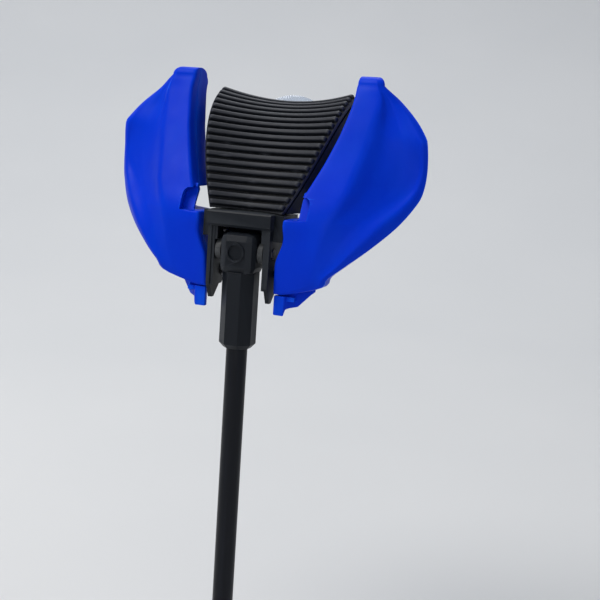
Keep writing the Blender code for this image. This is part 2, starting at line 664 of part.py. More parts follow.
def wing_skins(section, front):
    """Outer and inner grids of one wing shell, closed towards the parting surface."""
    side = 1 if front else -1
    shift = 0.0 if front else GAP
    outer = []
    inner = []
    for z in WING_ROWS:
        shell = None
        if NOTCH_Z[0] < z < NOTCH_Z[1]:
            shell = "front" if front else "rear"
        outer.append([(x, y, z) for x, y in section(z, wing_levels(z, shell))])
        depth = inner_level(z)
        levels = wing_levels(depth, shell)
        row = []
        for x, y in inset_section(section(depth, levels), side):
            seam = parting_y(levels, x) + shift
            row.append((x, min(y, seam) if front else max(y, seam), depth))
        inner.append(row)
    for end, place in ((WING_STATIONS[0][0], 0), (WING_STATIONS[-1][0], len(outer) + 1)):
        near = 0 if place == 0 else -1
        for grid, z in ((outer, end), (inner, inner_level(end))):
            levels = wing_levels(z)
            cap = [(x, parting_y(levels, x) + shift, z) for x, _, _ in grid[near]]
            grid.insert(place, cap)
    return outer, inner


def skirt_wall(name):
    """The wall that hangs below a wing, following its plan line."""
    faces = []
    for plan in (SKIRT_FRONT, SKIRT_BACK):
        faces.append([[(x, y, z) for (x, y), z in zip(plan, levels)]
                      for levels in (SKIRT_BOTTOMS, SKIRT_TOPS)])
    return thick_sheet(name, *faces)


def build_wings(parts, cutters, materials):
    front_outer, front_inner = wing_skins(wing_front_section, True)
    rear_outer, rear_inner = wing_skins(wing_rear_section, False)
    mesh = thick_sheet("wing_rear_right", rear_outer, rear_inner)
    rear = add_object("wing_rear_right", mesh, parts, materials["blue"])
    join(rear, box_mesh("skirt_bridge", *SKIRT_BRIDGE), cutters)
    join(rear, box_mesh("skirt_shelf", *SKIRT_SHELF), cutters)
    join(rear, skirt_wall("skirt"), cutters)
    for index, (y, z) in enumerate(SIDE_SCREW_SPOTS):
        cut(rear, rod_mesh(f"wing_hole_{index}", (12.3, y, z), (19.1, y, z),
                           SIDE_SCREW_RADIUS + GAP, 12), cutters)
    add_object("wing_rear_left", mirror_copy(rear, "wing_rear_left"), parts, materials["blue"])
    for side, label in ((-1, "left"), (1, "right")):
        name = f"wing_front_{label}"
        mesh = thick_sheet(name, mirrored(front_outer, side), mirrored(front_inner, side))
        add_object(name, mesh, parts, materials["blue"])
        name = f"wing_float_{label}"
        add_object(name, loft_solid(name, float_rings(side)), parts, materials["foam"])


def mirror_copy(obj, name):
    """The finished mesh of obj, mirrored to the other side of the object."""
    bpy.context.view_layer.update()
    finished = obj.evaluated_get(bpy.context.evaluated_depsgraph_get())
    mesh = bpy.data.meshes.new_from_object(finished)
    mesh.name = name
    mesh.materials.clear()
    mesh.transform(Matrix.Scale(-1.0, 4, (1.0, 0.0, 0.0)))
    mesh.flip_normals()
    return mesh


def float_rings(side):
    rings = []
    for z in FLOAT_ROWS:
        near_notch = NOTCH_Z[0] - 8.0 < z < NOTCH_Z[1] + 4.0
        levels = wing_levels(z, "rear" if near_notch else None)
        front = np.array(wing_front_section(z, levels))
        rear = np.array(wing_rear_section(z, levels))
        low = max(front[0][0] + 6.0, 30.0)
        high = front[-1][0] - 9.0
        spots = np.linspace(low, high, 5)
        ahead = np.interp(spots, front[2:, 0], front[2:, 1]) + 4.0
        behind = np.interp(spots, rear[2:-1, 0], rear[2:-1, 1]) - 4.2
        behind = np.maximum(behind, ahead + 1.0)
        ring = [(side * x, y, z) for x, y in zip(spots, ahead)]
        ring += [(side * x, y, z) for x, y in zip(spots[::-1], behind[::-1])]
        rings.append(ring)
    return rings


# ---------------------------------------------------------------- the whole object

def main():
    clear_scene()
    parts = make_collection("pole_cleaning_head")
    cutters = make_collection("cutters")
    materials = {
        "blue": make_material("blue_plastic", (0.004, 0.05, 0.72), 0.38),
        "black": make_material("black_plastic", (0.012, 0.013, 0.018), 0.45),
        "rubber": make_material("ribbed_pad", (0.02, 0.021, 0.026), 0.6),
        "rod": make_material("rod_black", (0.006, 0.006, 0.008), 0.35),
        "grey": make_material("grey_plastic", (0.05, 0.05, 0.055), 0.5),
        "steel": make_material("dark_steel", (0.09, 0.09, 0.1), 0.35, 1.0),
        "foam": make_material("white_foam", (0.8, 0.8, 0.76), 0.85),
        "clear": make_material("clear_vinyl", (0.75, 0.8, 0.85), 0.15),
    }
    build_pole(parts, cutters, materials)
    build_stem(parts, cutters, materials)
    build_frame(parts, cutters, materials)
    build_pivot(parts, cutters, materials)
    build_screws(parts, materials)
    build_rib_pad(parts, cutters, materials)
    build_carrier(parts, cutters, materials)
    build_cup(parts, materials)
    build_wings(parts, cutters, materials)


main()
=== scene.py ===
"""Looks of the ribbed cleaning head: fine moulded shells, ribbed pad, stem, pole and studio.

Lengths are millimetres in the CAD's frame, with +Z up the pole and -Y the ribbed front. Those
of the camera, the lights, the backdrop and the materials' bumps are metres.
"""
import json
import math

import bmesh
import bpy
import numpy as np
from mathutils import Matrix, Vector


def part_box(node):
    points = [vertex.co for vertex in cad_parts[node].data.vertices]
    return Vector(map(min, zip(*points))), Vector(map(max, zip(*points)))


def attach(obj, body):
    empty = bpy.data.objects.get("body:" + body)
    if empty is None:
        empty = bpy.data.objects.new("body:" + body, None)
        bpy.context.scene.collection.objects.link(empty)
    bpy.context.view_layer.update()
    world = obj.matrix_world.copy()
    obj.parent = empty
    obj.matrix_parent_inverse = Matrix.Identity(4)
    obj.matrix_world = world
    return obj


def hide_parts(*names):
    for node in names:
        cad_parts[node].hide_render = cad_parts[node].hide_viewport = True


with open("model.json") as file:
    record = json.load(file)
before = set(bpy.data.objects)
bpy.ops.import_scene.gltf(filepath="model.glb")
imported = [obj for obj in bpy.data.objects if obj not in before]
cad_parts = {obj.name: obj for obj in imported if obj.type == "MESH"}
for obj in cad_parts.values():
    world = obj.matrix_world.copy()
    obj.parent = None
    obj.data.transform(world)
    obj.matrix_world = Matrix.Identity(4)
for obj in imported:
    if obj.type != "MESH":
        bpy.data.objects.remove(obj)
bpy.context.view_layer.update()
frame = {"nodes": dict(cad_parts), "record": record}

MM = 0.001
GAP = 0.3                      # parting gap between the two shells of a wing
BODY_OF = {node: body for body, nodes in frame["record"]["behaviour"]["bodies"].items()
           for node in nodes}
SLOT_OF = {part["node"]: part["material_slot"] for part in frame["record"]["subparts"]}


def node_box(node):
    """Lowest and highest corners of a CAD node in millimetres."""
    low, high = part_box(node)
    return [c / MM for c in low], [c / MM for c in high]


# Wings: each station is a level of the right wing. Height, then x and y of the inner edge,
# of the crease beside the flat band, of the fold and of the rim, then the depth of the
# parting line behind the inner edge and the y of the back.
WING_WALL = 2.0
WING_STATIONS = (
    (159.0, (13.6, -1.5), (15.2, -1.5), (16.2, -1.4), (17.2, -1.2), 2.2, 5.0),
    (163.0, (13.7, -2.0), (25.5, -2.3), (28.5, -2.0), (31.4, -1.0), 2.4, 9.0),
    (167.0, (13.8, -2.5), (27.5, -2.8), (31.0, -2.6), (34.4, -2.0), 2.6, 11.5),
    (171.0, (14.1, -3.0), (29.0, -3.0), (34.0, -2.1), (39.0, -0.6), 3.0, 14.0),
    (179.0, (16.8, -3.7), (30.5, -3.2), (38.0, -0.2), (48.0, 4.8), 3.8, 18.5),
    (187.0, (16.9, -4.3), (33.0, -2.0), (43.5, 4.2), (55.4, 11.2), 4.8, 23.0),
    (196.0, (22.2, 0.8), (37.2, 2.0), (53.0, 13.8), (60.8, 17.6), 6.0, 27.0),
    (201.0, (24.4, 3.4), (38.5, 4.6), (57.0, 17.4), (62.1, 19.4), 6.0, 28.5),
    (208.0, (27.1, 7.2), (39.9, 8.1), (59.0, 19.0), (62.5, 20.2), 6.0, 30.0),
    (217.5, (30.2, 11.7), (41.9, 12.7), (57.2, 18.6), (61.9, 19.4), 6.0, 32.0),
    (220.0, (30.8, 12.9), (42.2, 13.7), (55.6, 19.0), (60.6, 20.4), 6.0, 32.8),
    (225.5, (32.0, 15.6), (43.0, 16.0), (51.8, 20.6), (56.2, 22.4), 5.6, 34.0),
    (232.0, (33.0, 18.4), (43.2, 18.6), (46.8, 21.6), (49.2, 24.4), 5.0, 35.0),
    (237.0, (33.0, 21.2), (41.0, 20.3), (42.2, 20.9), (43.3, 22.2), 4.0, 33.5),
    (240.2, (33.6, 25.0), (38.4, 24.0), (39.3, 24.2), (40.1, 24.8), 1.6, 28.5),
)
WING_LEVELS = [station[0] for station in WING_STATIONS]
WING_TABLE = np.array([[*s[1], *s[2], *s[3], *s[4], s[5], s[6]] for s in WING_STATIONS])
WING_BOTTOM = WING_LEVELS[0]
WING_TIP = WING_LEVELS[-1]
TIP_DOME = WING_TIP - WING_LEVELS[-2]
NOTCH_Z = (187.0, 195.3)
NOTCH_X = {True: 21.2, False: 27.0}     # how far the notch cuts into the front and rear shells
NOTCH_CORNERS = (0.6, 0.8)     # radii of the notch's lower and upper inner corners
NOTCH_FADE = 2.0               # width over which the notch's rounded edges fade out
RECESS_X = (19.0, 25.4)        # shallow recess beside the notch
RECESS_CORNER = 2.4            # radius of its upper outer corner
RECESS_Y = (0.4, 0.48)         # y of its back at its foot, and how fast that leans back
RECESS_CUT_Y = -14.0           # front of the block that cuts it, from that back
BACKING_REACH = 1.4            # how far the wall behind it reaches past its edges
BACKING_Y = (-0.9, 0.9)        # front and back of that wall, from the recess's back
EDGE_ROUNDING = 0.8
ROW_STEP = 1.25
HAIR = 0.05                    # half height of the sliver between a ledge's two rows
HOLLOW_DEPTH = 1.6             # shallow valley between crease and fold
HOLLOW_RISE = 12.0             # height above the notch's foot in which it deepens
HOLLOW_TOP = 236.0             # height at which it has gone
HOLLOW_FALL = 10.0             # height below that in which it fades
VALLEY_POINTS = ((0.33, 1.0), (0.67, 0.8))     # share of the way to the fold, and of the depth
RIM_BULGE = 0.12               # bulge between fold and rim, as a share of their distance
BAND_CORNER = 1.5
CREASE_REACH = 2.2
FOLD_REACH = 2.6
CORNER_STEPS = 7
RUN_STEPS = 5
REAR_SIDE = (0.6, 9.0)         # least and most depth of the rear shell's inner side
REAR_REACH_LEVELS = (159.0, 163.0, 171.0, 187.0)
REAR_REACHES = (6.2, 9.0, 6.0, 2.0)            # depth of its outer side at those heights

# Skirt under each wing: x and y of its front face, of its back face, then its lower and upper edges
SKIRT_FRONT = ((13.9, -0.9), (18.1, -1.2), (18.6, -0.4), (19.5, 1.2), (22.2, 3.2),
               (24.3, 4.5), (26.2, 5.7), (27.6, 6.5))
SKIRT_BACK = ((13.9, 1.1), (17.2, 0.8), (17.5, 1.3), (18.1, 2.7), (21.2, 4.9),
              (23.3, 6.2), (25.2, 7.4), (26.6, 8.2))
SKIRT_BOTTOMS = (151.2, 151.2, 153.6, 154.0, 154.6, 157.0, 159.2, 160.4)
SKIRT_TOPS = (158.6, 158.6, 158.6, 158.6, 160.8, 160.8, 161.5, 162.0)
# Two blocks that join the skirt to the rear shell: lowest and highest corner of each
SKIRT_SHELF = ((14.3, -0.2, 156.8), (21.6, 4.0, 158.45))
SKIRT_BRIDGE = ((14.8, 1.6, 157.2), (21.6, 4.4, 160.6))

# Screws: y and z of those in a wing's inner side, then lengths and radii
SIDE_SCREW_SPOTS = ((4.5, 165.5), (4.5, 182.0))
SIDE_SCREW_SEAT = 9.75         # x of the face that their heads rest on
SIDE_SCREW_SIZE = (9.7, 2.5)   # length and head radius
DECK_SCREW_SIZE = (5.2, 2.1)
SIDE_HOLE_RADIUS = 1.6
SIDE_HOLE_X = 12.0             # where the screws' holes start
SIDE_HOLE_LENGTH = 7.5
SHANK_RADIUS = 1.3
SCREW_DOME = 1.4               # height of their heads
THREAD_PITCH = 0.8
THREAD_DEPTH = 0.18
THREAD_STOP = 1.4              # the thread ends this far from the tip
TIP_LENGTH = 1.2

# Ribbed pad: a face that leans back more and more towards its top
PAD_START = (-0.3, 191.2)      # y and z of the first rib's top
PAD_LEANS = (math.radians(27.0), math.radians(69.0))
PAD_LEAN_POWER = 2.5
RIB_COUNT = 18
RIB_PITCH = 3.3
RIB_HEIGHT = 1.8
RIB_END = 1.5                  # length of a rib's rounded end
RIB_MARGIN = 0.35              # from a rib's end to the pad's edge
# One rib's section: place along the pad, and depth below the rib's top as a share of its height
RIB_PROFILE = ((-1.08, 1.0), (-1.01, 0.97), (-0.96, 0.86), (-0.91, 0.5), (-0.87, 0.2),
               (-0.79, 0.06), (-0.62, 0.0), (0.0, -0.02), (0.62, 0.0), (0.79, 0.06),
               (0.87, 0.2), (0.91, 0.5), (0.96, 0.86), (1.01, 0.97), (1.08, 1.0))
PAD_LENGTH = (RIB_COUNT - 1) * RIB_PITCH
PAD_ENDS = (3.0, 1.4)          # how far it runs on past the middles of its end ribs
PAD_SPREAD = (15.3, 0.415, 0.00335)    # half width at the first rib, its growth and the slowing
PAD_SAG = (4.2, 1.4)           # depth of the hollow across it at the first rib, and the increase
PAD_BOW = (1.5, 1.0)           # rise of the ribs' middles at the first rib, and the increase
SPINE_STEPS = 40
PAD_BACK_DEPTH = 3.6
HEAD_FLOOR_Z = 188.5

# Pole end: bore radius of the ferrule and the collar, then their grooves and flutes
POLE_BORE = 4.3
BORE_FLARE = 0.2
GROOVE_LEVELS = (6.0, 9.0, 12.0)
GROOVE_DEPTH = 0.35
FLUTE_COUNT = 12
FLUTE_DEPTH = 0.34

# Camera: place in metres, and the directions of its right, up and back
CAMERA_PLACE = (0.159694, -0.373003, 0.226527)
CAMERA_RIGHT = (0.93373, 0.35186, 0.06586)
CAMERA_UP = (-0.12089, 0.13675, 0.98320)
CAMERA_BACK = (0.33694, -0.92601, 0.17023)
CAMERA_LENS = 66.0


# ---------------------------------------------------------------- mesh helpers

def shade(mesh, sharp=35.0):
    """Smooth shading, with the edges sharper than that angle in degrees left sharp."""
    mesh.shade_smooth()
    mesh.set_sharp_from_angle(angle=math.radians(sharp))
    return mesh


def mesh_from_bmesh(name, bm, sharp=35.0):
    """The shaded mesh of a closed bmesh, with its faces turned outwards."""
    bmesh.ops.recalc_face_normals(bm, faces=bm.faces)
    if bm.calc_volume(signed=True) < 0:
        bmesh.ops.reverse_faces(bm, faces=bm.faces)
    mesh = bpy.data.meshes.new(name)
    bm.to_mesh(mesh)
    bm.free()
    return shade(mesh, sharp)


def thick_sheet(name, outer, inner, sharp=35.0):
    """A closed wall between two grids of points that have the same rows and columns."""
    bm = bmesh.new()
    rows = len(outer)
    columns = len(outer[0])
    skins = [[[bm.verts.new(Vector(p) * MM) for p in row] for row in grid]
             for grid in (outer, inner)]
    for skin in skins:
        for i in range(rows - 1):
            for j in range(columns - 1):
                bm.faces.new((skin[i][j], skin[i][j + 1], skin[i + 1][j + 1], skin[i + 1][j]))
    border = [(0, j) for j in range(columns)]
    border += [(i, columns - 1) for i in range(1, rows)]
    border += [(rows - 1, j) for j in range(columns - 2, -1, -1)]
    border += [(i, 0) for i in range(rows - 2, 0, -1)]
    for (i, j), (k, m) in zip(border, border[1:] + border[:1]):
        bm.faces.new((skins[0][i][j], skins[0][k][m], skins[1][k][m], skins[1][i][j]))
    return mesh_from_bmesh(name, bm, sharp)


def join_rings(bm, levels):
    """Faces between each ring of vertices and the next."""
    count = len(levels[0])
    for low, high in zip(levels, levels[1:]):
        for i in range(count):
            j = (i + 1) % count
            bm.faces.new((low[i], low[j], high[j], high[i]))


def loft(name, rings):
    """A closed solid through rings that have the same number of points."""
    bm = bmesh.new()
    levels = [[bm.verts.new(Vector(p) * MM) for p in ring] for ring in rings]
    join_rings(bm, levels)
    bm.faces.new(levels[0])
    bm.faces.new(levels[-1])
    return mesh_from_bmesh(name, bm)


def tube_rings(profile, start, direction, segments, shape=None):
    """Rings of a turned profile of (radius, distance) along direction from start."""
    turn = Vector(direction).to_track_quat("Z", "Y")
    rings = []
    for radius, along in profile:
        ring = []
        for index in range(segments):
            angle = math.tau * index / segments
            reach = radius if shape is None else shape(radius, angle, along)
            point = Vector((reach * math.cos(angle), reach * math.sin(angle), along))
            ring.append(tuple(Vector(start) + turn @ point))
        rings.append(ring)
    return rings


def prism(name, outline, axis, low, high):
    """A closed outline in the plane across axis, drawn out from low to high."""
    others = [i for i in range(3) if i != axis]
    rings = []
    for level in (low, high):
        ring = []
        for a, b in outline:
            point = [0.0, 0.0, 0.0]
            point[axis] = level
            point[others[0]] = a
            point[others[1]] = b
            ring.append(tuple(point))
        rings.append(ring)
    return loft(name, rings)


def bevel(obj, width):
    """Rounds the object's sharp edges."""
    modifier = obj.modifiers.new("soft_edges", "BEVEL")
    modifier.width = width * MM
    modifier.segments = 3
    modifier.limit_method = "ANGLE"
    modifier.angle_limit = math.radians(30.0)
    modifier.miter_outer = "MITER_ARC"


def finished_mesh(obj, name):
    """The mesh of obj with its modifiers applied."""
    bpy.context.view_layer.update()
    mesh = bpy.data.meshes.new_from_object(obj.evaluated_get(
        bpy.context.evaluated_depsgraph_get()))
    mesh.name = name
    return mesh


def bevelled(mesh, width):
    """The mesh with its sharp edges rounded."""
    obj = bpy.data.objects.new(mesh.name, mesh)
    bpy.context.scene.collection.objects.link(obj)
    bevel(obj, width)
    rounded = finished_mesh(obj, mesh.name)
    bpy.data.objects.remove(obj)
    return shade(rounded, 40.0)


def boolean(mesh, tools):
    """The mesh joined with, or cut by, each (operation, mesh) in tools."""
    obj = bpy.data.objects.new(mesh.name, mesh)
    bpy.context.scene.collection.objects.link(obj)
    helpers = []
    for operation, tool in tools:
        helper = bpy.data.objects.new(tool.name, tool)
        bpy.context.scene.collection.objects.link(helper)
        helpers.append(helper)
        modifier = obj.modifiers.new(tool.name, "BOOLEAN")
        modifier.operation = operation
        modifier.object = helper
    result = finished_mesh(obj, mesh.name)
    for unused in helpers + [obj]:
        bpy.data.objects.remove(unused)
    result.materials.clear()
    return result


def mirrored_mesh(mesh, name):
    """A copy of the mesh, mirrored across the plane X = 0."""
    copy = mesh.copy()
    copy.name = name
    copy.transform(Matrix.Scale(-1.0, 4, (1.0, 0.0, 0.0)))
    copy.flip_normals()
    return copy


def add_piece(name, mesh, node):
    """A piece that stands for a CAD node, riding on its body with its slot and material."""
    obj = bpy.data.objects.new(name, mesh)
    bpy.context.scene.collection.objects.link(obj)
    mesh.materials.clear()
    mesh.materials.append(MATERIALS[SLOT_OF[node]])
    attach(obj, BODY_OF[node])
    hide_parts(node)


# ---------------------------------------------------------------- materials

class Nodes:
    """Adds nodes to a material and links them."""

    def __init__(self, name):
        self.material = bpy.data.materials.new(name)
        self.material.use_nodes = True
        self.tree = self.material.node_tree
        self.shader = self.tree.nodes["Principled BSDF"]
        coordinates = self.tree.nodes.new("ShaderNodeTexCoord")
        self.place = coordinates.outputs["Object"]

    def add(self, kind, inputs=None, **settings):
        node = self.tree.nodes.new(kind)
        for key, value in settings.items():
            setattr(node, key, value)
        for key, value in (inputs or {}).items():
            socket = node.inputs[key]
            if isinstance(value, bpy.types.NodeSocket):
                self.tree.links.new(value, socket)
            else:
                socket.default_value = value
        return node

    def stretched(self, scale):
        """The object's coordinates, stretched by a scale for each axis."""
        return self.add("ShaderNodeMapping", {"Vector": self.place, "Scale": scale}).outputs[0]

    def noise(self, scale, detail=3.0, vector=None, roughness=0.55):
        node = self.add("ShaderNodeTexNoise", {"Vector": vector or self.place, "Scale": scale,
                                               "Detail": detail, "Roughness": roughness})
        return node.outputs["Fac"]

    def ramp(self, value, low, high, to_low=0.0, to_high=1.0):
        """The value, remapped from low..high to to_low..to_high and clamped."""
        node = self.add("ShaderNodeMapRange",
                        {"Value": value, "From Min": low, "From Max": high,
                         "To Min": to_low, "To Max": to_high})
        return node.outputs["Result"]

    def blend(self, factor, first, second):
        node = self.add("ShaderNodeMix", data_type="RGBA")
        for index, value in ((0, factor), (6, first), (7, second)):
            if isinstance(value, bpy.types.NodeSocket):
                self.tree.links.new(value, node.inputs[index])
            else:
                node.inputs[index].default_value = value
        return node.outputs[2]

    def bump(self, height, strength, distance, below=None):
        inputs = {"Height": height, "Strength": strength, "Distance": distance}
        if below is not None:
            inputs["Normal"] = below
        return self.add("ShaderNodeBump", inputs).outputs["Normal"]

    def edges(self, low=0.52, high=0.6):
        """1 on outward edges, where paler wear and painted highlights are laid, and 0 elsewhere."""
        geometry = self.add("ShaderNodeNewGeometry")
        return self.ramp(geometry.outputs["Pointiness"], low, high)

    def finish(self, colour, roughness, normal):
        links = self.tree.links
        links.new(colour, self.shader.inputs["Base Color"])
        links.new(roughness, self.shader.inputs["Roughness"])
        links.new(normal, self.shader.inputs["Normal"])
        return self.material


def rgba(colour, factor=1.0):
    return (*(min(c * factor, 1.0) for c in colour), 1.0)


def moulded_plastic(name, colour, edge_colour, roughness, grain=0.12, edge_wear_and_highlight_share=0.5,
                    gloss=0.18):
    """Moulded plastic: slow colour drift, flow marks, spark-eroded grain and paler edges, partly
    wear and partly a painted highlight.
    """
    nodes = Nodes(name)
    nodes.shader.inputs["Specular IOR Level"].default_value = gloss
    drift = nodes.noise(28.0, 4.0)
    flow = nodes.noise(60.0, 5.0, nodes.stretched((1.0, 1.0, 0.18)))
    base = nodes.blend(nodes.ramp(drift, 0.3, 0.7), rgba(colour, 0.92), rgba(colour, 1.06))
    base = nodes.blend(nodes.ramp(flow, 0.45, 0.8, 0.0, 0.25), base, rgba(edge_colour, 0.8))
    # Paler outward edges: partly wear, partly a painted highlight.
    edge = nodes.add("ShaderNodeMath", {0: nodes.edges(), 1: edge_wear_and_highlight_share}, operation="MULTIPLY")
    base = nodes.blend(edge.outputs[0], base, rgba(edge_colour))
    scuffs = nodes.noise(240.0, 8.0, nodes.stretched((1.0, 1.0, 0.35)), 0.7)
    rough = nodes.ramp(scuffs, 0.35, 0.75, roughness - 0.05, roughness + 0.1)
    fine = nodes.noise(3200.0, 2.0)
    broad = nodes.noise(120.0, 2.0)
    normal = nodes.bump(broad, 0.25, 0.00012)
    normal = nodes.bump(fine, grain, 0.00006, normal)
    return nodes.finish(base, rough, normal)


def pole_coating():
    """Satin black coating with fine marks drawn along the pole, and painted highlights on its
    edges.
    """
    nodes = Nodes("pole_coating")
    nodes.shader.inputs["Specular IOR Level"].default_value = 0.2
    drawn = nodes.noise(900.0, 6.0, nodes.stretched((1.0, 1.0, 0.02)), 0.7)
    base = nodes.blend(nodes.ramp(drawn, 0.45, 0.75), rgba((0.002, 0.003, 0.006)),
                       rgba((0.005, 0.007, 0.013)))
    # Painted highlight: paler colour on the outward edges.
    base = nodes.blend(nodes.edges(), base, rgba((0.05, 0.05, 0.055)))
    rough = nodes.ramp(drawn, 0.3, 0.8, 0.28, 0.46)
    grain = nodes.noise(2600.0, 3.0)
    normal = nodes.bump(drawn, 0.12, 0.00004)
    normal = nodes.bump(grain, 0.08, 0.00004, normal)
    return nodes.finish(base, rough, normal)


def pad_rubber():
    """Dense black rubber: pitted grain, dust, painted highlights on the rib crests and painted
    shade in the grooves.
    """
    nodes = Nodes("pad_rubber")
    nodes.shader.inputs["Specular IOR Level"].default_value = 0.2
    dust = nodes.noise(420.0, 8.0, roughness=0.75)
    patches = nodes.noise(45.0, 4.0)
    base = nodes.blend(nodes.ramp(patches, 0.3, 0.7), rgba((0.010, 0.012, 0.017)),
                       rgba((0.016, 0.018, 0.024)))
    base = nodes.blend(nodes.ramp(dust, 0.52, 0.8, 0.0, 0.35), base, rgba((0.05, 0.052, 0.06)))
    # Painted highlight: paler colour on the ribs' outward edges.
    base = nodes.blend(nodes.edges(0.5, 0.62), base, rgba((0.05, 0.053, 0.065)))
    # Painted shade: near black in the hollow grooves between the ribs.
    base = nodes.blend(nodes.edges(0.43, 0.495), rgba((0.001, 0.0012, 0.002)), base)
    rough = nodes.ramp(dust, 0.3, 0.8, 0.42, 0.62)
    pits = nodes.noise(3600.0, 3.0)
    normal = nodes.bump(patches, 0.15, 0.0002)
    normal = nodes.bump(pits, 0.3, 0.00008, normal)
    return nodes.finish(base, rough, normal)


def drawn_steel():
    """Dark passivated steel with turning marks."""
    nodes = Nodes("drawn_steel")
    marks = nodes.noise(1500.0, 5.0, nodes.stretched((0.08, 1.0, 1.0)), 0.65)
    base = nodes.blend(nodes.ramp(marks, 0.3, 0.7), rgba((0.06, 0.06, 0.065)),
                       rgba((0.12, 0.12, 0.13)))
    rough = nodes.ramp(marks, 0.3, 0.75, 0.2, 0.42)
    nodes.shader.inputs["Metallic"].default_value = 1.0
    return nodes.finish(base, rough, nodes.bump(marks, 0.15, 0.00003))


def float_foam():
    """Closed-cell foam: small cells over soft lumps."""
    nodes = Nodes("float_foam")
    cells = nodes.add("ShaderNodeTexVoronoi", {"Vector": nodes.place, "Scale": 900.0})
    lumps = nodes.noise(150.0, 4.0)
    base = nodes.blend(nodes.ramp(lumps, 0.3, 0.7), rgba((0.72, 0.72, 0.68)),
                       rgba((0.84, 0.84, 0.8)))
    rough = nodes.ramp(lumps, 0.3, 0.7, 0.8, 0.92)
    return nodes.finish(base, rough, nodes.bump(cells.outputs["Distance"], 0.5, 0.0003))


def clear_vinyl():
    """Clear soft vinyl, faintly blue, with a slightly uneven surface."""
    nodes = Nodes("clear_vinyl")
    waves = nodes.noise(90.0, 3.0)
    haze = nodes.noise(700.0, 5.0)
    base = nodes.blend(nodes.ramp(waves, 0.3, 0.7), rgba((0.66, 0.74, 0.86)),
                       rgba((0.74, 0.80, 0.90)))
    rough = nodes.ramp(haze, 0.3, 0.75, 0.06, 0.2)
    nodes.shader.inputs["Transmission Weight"].default_value = 0.92
    nodes.shader.inputs["IOR"].default_value = 1.38
    return nodes.finish(base, rough, nodes.bump(waves, 0.3, 0.0002))


def studio_paper():
    """Plain pale backdrop with a faint tooth."""
    nodes = Nodes("studio_paper")
    tone = nodes.noise(3.0, 2.0)
    tooth = nodes.noise(600.0, 4.0)
    base = nodes.blend(nodes.ramp(tone, 0.2, 0.8), rgba((0.63, 0.635, 0.64)),
                       rgba((0.67, 0.67, 0.67)))
    rough = nodes.ramp(tooth, 0.3, 0.7, 0.75, 0.9)
    return nodes.finish(base, rough, nodes.bump(tooth, 0.05, 0.0001))


def make_materials():
    return {
        "blue_plastic": moulded_plastic("blue_shell", (0.0, 0.034, 0.62), (0.004, 0.11, 0.9),
                                        0.38, 0.10, 0.6, 0.06),
        "black_plastic": moulded_plastic("black_moulding", (0.005, 0.007, 0.011),
                                         (0.035, 0.04, 0.048), 0.42, 0.16, 0.5),
        "grey_plastic": moulded_plastic("grey_moulding", (0.045, 0.047, 0.05),
                                        (0.11, 0.115, 0.12), 0.45, 0.16, 0.4),
        "ribbed_pad": pad_rubber(),
        "rod_black": pole_coating(),
        "dark_steel": drawn_steel(),
        "white_foam": float_foam(),
        "clear_vinyl": clear_vinyl(),
    }


# ---------------------------------------------------------------- wings

def wing_values(z):
    """The wing's station values at height z, on a smooth curve, with a domed tip."""
    if z > WING_TIP - TIP_DOME:
        rise = min((z - WING_TIP + TIP_DOME) / TIP_DOME, 1.0)
        share = 1.0 - math.sqrt(1.0 - rise * rise)
        return WING_TABLE[-2] * (1 - share) + WING_TABLE[-1] * share
    count = len(WING_LEVELS)
    index = int(np.clip(np.searchsorted(WING_LEVELS, z) - 1, 0, count - 2))
    before = max(index - 1, 0)
    after = min(index + 2, count - 1)
    span = WING_LEVELS[index + 1] - WING_LEVELS[index]
    t = (z - WING_LEVELS[index]) / span
    low, high = WING_TABLE[index], WING_TABLE[index + 1]
    start = (high - WING_TABLE[before]) / (WING_LEVELS[index + 1] - WING_LEVELS[before]) * span
    end = (WING_TABLE[after] - low) / (WING_LEVELS[after] - WING_LEVELS[index]) * span
    h01 = t * t * (3 - 2 * t)
    return low * (1 - h01) + high * h01 + start * t * (1 - t) ** 2 + end * t * t * (t - 1)


def parting_y(levels, x):
    """The y of the surface where the front and rear shells of a wing meet."""
    xi, yi, _, _, _, _, xr, yr, parting, _ = levels
    share = min(max((x - xi) / max(xr - xi, 1.0), 0.0), 1.0)
    return (yi + parting) * (1 - share) + yr * share


def corner_drop(distance, radius):
    """How far a quarter-round edge of that radius lies in, at a distance from its end."""
    if distance >= radius:
        return 0.0
    return radius - math.sqrt(max(radius * radius - (radius - distance) ** 2, 0.0))


def notch_levels(z, edge):
    """Station values at height z with the inner edge at the notch's rounded side wall."""
    low, high = NOTCH_Z
    lower, upper = NOTCH_CORNERS
    edge -= corner_drop(z - low, lower) + corner_drop(high - z, upper)
    return stepped_out(list(wing_values(z)), edge)


def stepped_out(levels, edge):
    """The station values with the inner edge moved out along the band to x = edge."""
    xi, yi, xc, yc = levels[:4]
    if edge > xi:
        seam = parting_y(levels, edge)
        levels[0] = edge
        levels[1] = yi + (yc - yi) * (edge - xi) / (xc - xi)
        levels[8] = seam - levels[1]
    return levels


def soft_corner(before, corner, after, reach, steps):
    """Points of a rounded corner, from reach before it to reach after it."""
    back = before - corner
    ahead = after - corner
    start = corner + back / np.linalg.norm(back) * min(reach, 0.45 * np.linalg.norm(back))
    end = corner + ahead / np.linalg.norm(ahead) * min(reach, 0.45 * np.linalg.norm(ahead))
    return [start * (1 - t) ** 2 + corner * 2 * t * (1 - t) + end * t * t
            for t in np.linspace(0.0, 1.0, steps)]


